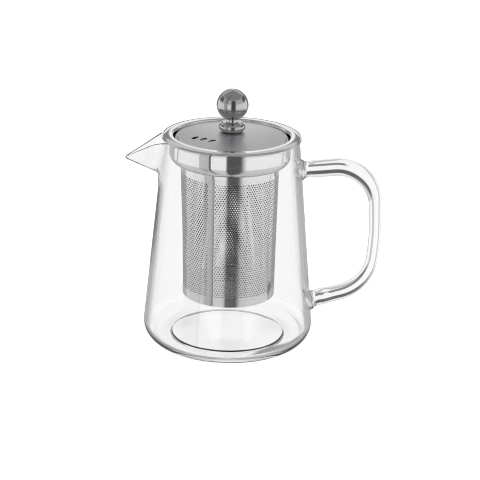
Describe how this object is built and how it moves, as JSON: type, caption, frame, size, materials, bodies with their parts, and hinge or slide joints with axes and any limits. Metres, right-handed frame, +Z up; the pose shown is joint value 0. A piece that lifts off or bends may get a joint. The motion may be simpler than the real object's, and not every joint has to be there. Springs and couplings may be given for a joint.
{
  "type": "glass teapot",
  "caption": "Clear glass teapot with a pulled beak and a fused D handle, a lift-out steel strainer hung in its mouth, and a domed steel lid with a ball knob.",
  "frame": {"origin": "centre of the foot ring, on the surface that the pot stands on", "axes": "+Z up along the pot's axis, handle along +X, beak along -X"},
  "size_m": [0.1508, 0.1, 0.152],
  "materials": {
    "glass": "clear blown borosilicate glass",
    "steel_satin": "satin brushed stainless steel",
    "steel_collar": "bright pressed stainless steel",
    "steel_mesh": "perforated stainless steel sheet",
    "steel_polished": "mirror polished stainless steel",
    "steel_plain": "plain turned stainless steel"
  },
  "bodies": {
    "pot": {"glass_body": "glass", "glass_handle": "glass"},
    "infuser": {"infuser_collar": "steel_collar", "strainer_tube": "steel_mesh", "strainer_base": "steel_mesh"},
    "lid": {"lid_dome": "steel_satin", "lid_skirt": "steel_collar", "knob_foot": "steel_polished", "knob_ball": "steel_polished", "knob_screw": "steel_plain", "knob_washer": "steel_plain"}
  },
  "joints": [
    {"name": "infuser_lift", "type": "slide", "parent": "pot", "child": "infuser", "axis": [0, 0, 1], "range_m": [0, 0.11]},
    {"name": "lid_lift", "type": "slide", "parent": "infuser", "child": "lid", "axis": [0, 0, 1], "range_m": [0, 0.04]}
  ]
}
